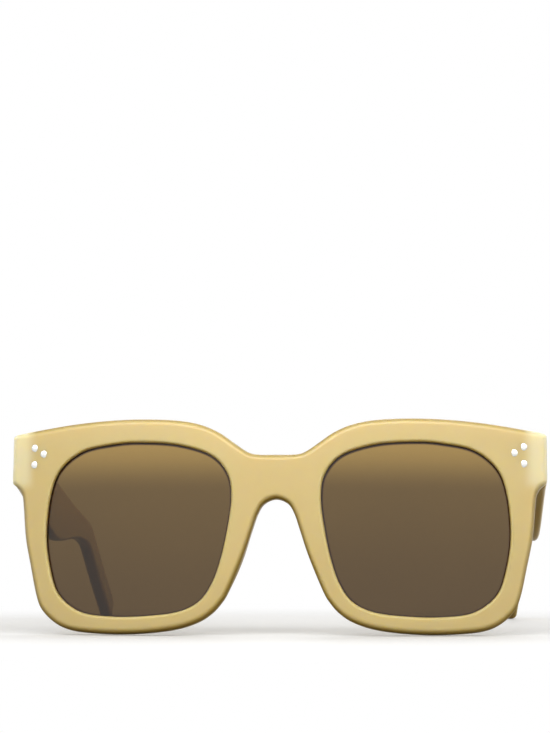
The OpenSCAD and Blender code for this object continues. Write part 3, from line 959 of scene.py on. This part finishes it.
def add_floor():
    """Pale floor that fades to white away from the object. The light that it throws back is
    dimmer and warmer than the floor looks, as below honey plastic."""
    look = settings()[2]
    half, fade_from, fade_to = 6.0, 0.07, 0.22
    mesh = bpy.data.meshes.new("floor")
    mesh.from_pydata([(-half, -half, 0), (half, -half, 0), (half, half, 0), (-half, half, 0)],
                     [], [(0, 1, 2, 3)])
    floor = bpy.data.objects.new("floor", mesh)
    bpy.context.scene.collection.objects.link(floor)
    material = bpy.data.materials.new("pale floor")
    material.use_nodes = True
    nodes, links = material.node_tree.nodes, material.node_tree.links
    shader = nodes["Principled BSDF"]
    shown = seen_ray(nodes, links)
    tone = nodes.new("ShaderNodeMix")
    tone.data_type = "RGBA"
    tone.inputs[6].default_value = tuple(look.bounce)
    tone.inputs[7].default_value = tuple(look.floor)
    links.new(seen_ray(nodes, links, ("Is Transmission Ray",)), tone.inputs["Factor"])
    links.new(tone.outputs[2], shader.inputs["Base Color"])
    shader.inputs["Roughness"].default_value = 0.6
    shader.inputs["Specular IOR Level"].default_value = 0.1
    place = nodes.new("ShaderNodeTexCoord")
    away = nodes.new("ShaderNodeVectorMath")
    away.operation = "LENGTH"
    links.new(place.outputs["Object"], away.inputs[0])
    fade = nodes.new("ShaderNodeMapRange")
    fade.interpolation_type = "SMOOTHSTEP"
    fade.inputs["From Min"].default_value = fade_from
    fade.inputs["From Max"].default_value = fade_to
    links.new(away.outputs["Value"], fade.inputs["Value"])
    seen = nodes.new("ShaderNodeMath")
    seen.operation = "MULTIPLY"
    links.new(fade.outputs["Result"], seen.inputs[0])
    links.new(shown, seen.inputs[1])
    white = nodes.new("ShaderNodeEmission")
    mix = nodes.new("ShaderNodeMixShader")
    links.new(seen.outputs[0], mix.inputs["Fac"])
    links.new(shader.outputs[0], mix.inputs[1])
    links.new(white.outputs[0], mix.inputs[2])
    links.new(mix.outputs[0], nodes["Material Output"].inputs["Surface"])
    mesh.materials.append(material)
    floor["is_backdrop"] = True


def add_lights():
    """Even white surroundings, five large soft lamps, and a near one above the brow, whose
    light falls off down the front. Each lamp has its place, width and height, and power."""
    scene = bpy.context.scene
    surroundings, white, aim = 0.38, (1, 1, 1, 1), Vector((0, 0, 0.03))
    scene.world = bpy.data.worlds.new("studio")
    scene.world.use_nodes = True
    nodes, links = scene.world.node_tree.nodes, scene.world.node_tree.links
    light = nodes["Background"]
    light.inputs["Color"].default_value = white
    light.inputs["Strength"].default_value = surroundings
    shown = nodes.new("ShaderNodeBackground")
    shown.inputs["Color"].default_value = white
    mix = nodes.new("ShaderNodeMixShader")
    links.new(seen_ray(nodes, links), mix.inputs["Fac"])
    links.new(light.outputs[0], mix.inputs[1])
    links.new(shown.outputs[0], mix.inputs[2])
    links.new(mix.outputs[0], nodes["World Output"].inputs["Surface"])
    for name, place, size, power in (
        ("key lamp", (-0.2, -0.45, 0.7), (0.5, 0.5), 0.5),
        ("brow lamp", (0, -0.22, 0.16), (0.3, 0.1), 0.365),
        ("fill lamp", (0.7, -0.7, 0.5), (0.7, 0.7), 1.5),
        ("back lamp", (0.1, 0.5, 0.6), (0.6, 0.6), 1.9),
        ("right lamp", (0.7, 0.15, 0.35), (0.5, 0.5), 2.2),
        ("left lamp", (-0.7, 0.15, 0.35), (0.5, 0.5), 2.2),
    ):
        lamp = bpy.data.lights.new(name, "AREA")
        lamp.shape = "RECTANGLE"
        lamp.size, lamp.size_y = size
        lamp.energy = power
        made = bpy.data.objects.new(name, lamp)
        made.location = place
        made.rotation_euler = (aim - made.location).to_track_quat("-Z", "Y").to_euler()
        scene.collection.objects.link(made)


def add_camera():
    """Camera in front of the glasses, aimed above them, because the photograph has them in its
    lower half."""
    scene = bpy.context.scene
    azimuth, elevation, distance = math.radians(4), math.radians(-0.5), 0.62
    aim_up, picture_w = 0.0424, 0.1461
    low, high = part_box("front_frame")
    middle = Vector((0, low[1], (low[2] + high[2]) / 2))
    way = Vector((math.sin(azimuth) * math.cos(elevation),
                  -math.cos(azimuth) * math.cos(elevation), math.sin(elevation)))
    data = bpy.data.cameras.new("camera")
    data.sensor_fit = "HORIZONTAL"
    data.lens = data.sensor_width * distance / picture_w
    camera = bpy.data.objects.new("camera", data)
    camera.location = middle + way * distance
    aim = middle + Vector((0, 0, aim_up))
    camera.rotation_euler = (aim - camera.location).to_track_quat("-Z", "Y").to_euler()
    data.clip_start, data.clip_end = 0.01, 50
    scene.collection.objects.link(camera)
    scene.camera = camera
    scene.view_settings.view_transform = "Standard"


class SUNGLASSES_PT_panel(bpy.types.Panel):
    """Builds the sunglasses piece by piece"""

    bl_label = "Sunglasses"
    bl_idname = "SUNGLASSES_PT_panel"
    bl_space_type = "VIEW_3D"
    bl_region_type = "UI"
    bl_category = "Sunglasses"

    def draw(self, context):
        for operator in OPERATORS:
            self.layout.operator(operator.bl_idname)
        for attribute, group in GROUPS:
            box = self.layout.box()
            for name in group.__annotations__:
                box.prop(getattr(context.scene, attribute), name)


GROUPS = (("sunglasses_front", SunglassesFront), ("sunglasses_temple", SunglassesTemple),
          ("sunglasses_hinge", SunglassesHinge), ("sunglasses_look", SunglassesLook))
OPERATORS = (SUNGLASSES_OT_stage, SUNGLASSES_OT_front, SUNGLASSES_OT_lenses,
             SUNGLASSES_OT_temples, SUNGLASSES_OT_rivets, SUNGLASSES_OT_hinges)


def register():
    for name, group in GROUPS:
        bpy.utils.register_class(group)
        setattr(bpy.types.Scene, name, bpy.props.PointerProperty(type=group))
    for made in (*OPERATORS, SUNGLASSES_PT_panel):
        bpy.utils.register_class(made)


def unregister():
    for made in (SUNGLASSES_PT_panel, *OPERATORS[::-1]):
        bpy.utils.unregister_class(made)
    for name, group in GROUPS[::-1]:
        delattr(bpy.types.Scene, name)
        bpy.utils.unregister_class(group)


def main():
    register()
    bpy.ops.sunglasses.stage()
    bpy.ops.sunglasses.front()
    bpy.ops.sunglasses.lenses()
    bpy.ops.sunglasses.temples()
    bpy.ops.sunglasses.rivets()
    bpy.ops.sunglasses.hinges()
    boxes = {"cad": CAD_BOX, "visual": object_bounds()}
    boxes = {name: [list(corner) for corner in box] for name, box in boxes.items()}


if __name__ == "__main__":
    main()
